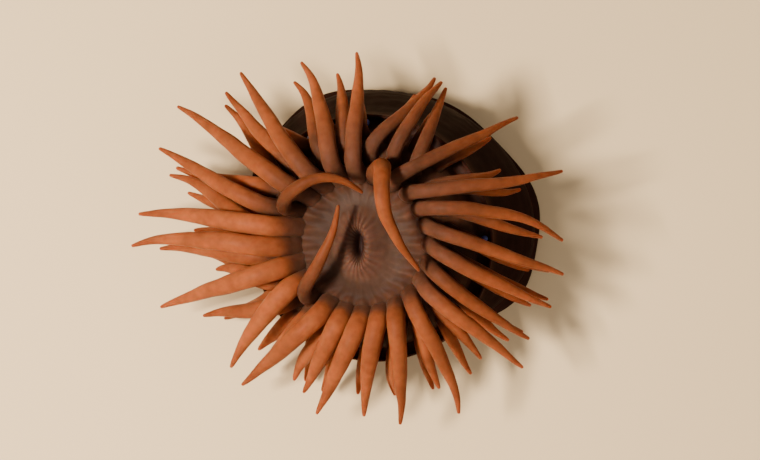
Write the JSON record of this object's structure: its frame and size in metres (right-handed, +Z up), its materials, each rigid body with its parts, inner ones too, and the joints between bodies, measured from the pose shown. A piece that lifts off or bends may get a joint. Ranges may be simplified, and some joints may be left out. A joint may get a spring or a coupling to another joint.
{
  "type": "beadlet anemone",
  "caption": "Open beadlet anemone: a low leaning column on a flat foot, topped by a beaded collar, a bare disc with a raised mouth and rings of arching tentacles.",
  "frame": {"origin": "middle of the pedal disc, on the surface that it grips", "axes": "+Z straight up from that surface, the shortest extent; the longest spread of the tentacles is along X; the mouth leans 21 degrees from +Z towards -X -Y"},
  "size_m": [0.0536, 0.0459, 0.0266],
  "materials": {
    "foot": "wet, smooth, dull red-brown flesh",
    "column": "wet, glossy, near-black red flesh with fine wrinkles",
    "bead_collar": "wet, glossy dark flesh with violet-blue beads",
    "disc": "wet grey-brown flesh with faint lines running out from the mouth",
    "lips": "wet, swollen, finely folded pink-brown flesh",
    "tentacle": "wet, glossy orange-brown flesh, redder at the root"
  },
  "bodies": {
    "root": {"collar": "bead_collar", "column": "column", "margin_1": "tentacle", "margin_2": "tentacle", "margin_3": "tentacle", "margin_4": "tentacle", "mouth": "lips", "oral_disc": "disc", "pedal_disc": "foot", "tentacle_curled_a_base": "tentacle", "tentacle_curled_a_end": "tentacle", "tentacle_curled_b_base": "tentacle", "tentacle_curled_b_end": "tentacle", "tentacle_curled_c_base": "tentacle", "tentacle_curled_c_end": "tentacle", "tentacle_inner_01": "tentacle", "tentacle_inner_02": "tentacle", "tentacle_inner_03": "tentacle", "tentacle_inner_04": "tentacle", "tentacle_inner_05": "tentacle", "tentacle_inner_07": "tentacle", "tentacle_inner_08": "tentacle", "tentacle_inner_09": "tentacle", "tentacle_inner_10": "tentacle", "tentacle_inner_12": "tentacle", "tentacle_inner_13": "tentacle", "tentacle_inner_14": "tentacle", "tentacle_inner_15": "tentacle", "tentacle_inner_17": "tentacle", "tentacle_inner_18": "tentacle", "tentacle_inner_19": "tentacle", "tentacle_inner_20": "tentacle", "tentacle_inner_21": "tentacle", "tentacle_inner_22": "tentacle", "tentacle_inner_23": "tentacle", "tentacle_inner_24": "tentacle", "tentacle_middle_01": "tentacle", "tentacle_middle_02": "tentacle", "tentacle_middle_03": "tentacle", "tentacle_middle_04": "tentacle", "tentacle_middle_05": "tentacle", "tentacle_middle_06": "tentacle", "tentacle_middle_07": "tentacle", "tentacle_middle_08": "tentacle", "tentacle_middle_09": "tentacle", "tentacle_middle_10": "tentacle", "tentacle_middle_11": "tentacle", "tentacle_middle_12": "tentacle", "tentacle_middle_13": "tentacle", "tentacle_middle_14": "tentacle", "tentacle_middle_15": "tentacle", "tentacle_middle_16": "tentacle", "tentacle_middle_17": "tentacle", "tentacle_middle_18": "tentacle", "tentacle_middle_19": "tentacle", "tentacle_middle_20": "tentacle", "tentacle_middle_21": "tentacle", "tentacle_middle_22": "tentacle", "tentacle_middle_23": "tentacle", "tentacle_middle_24": "tentacle"}
  },
  "joints": []
}
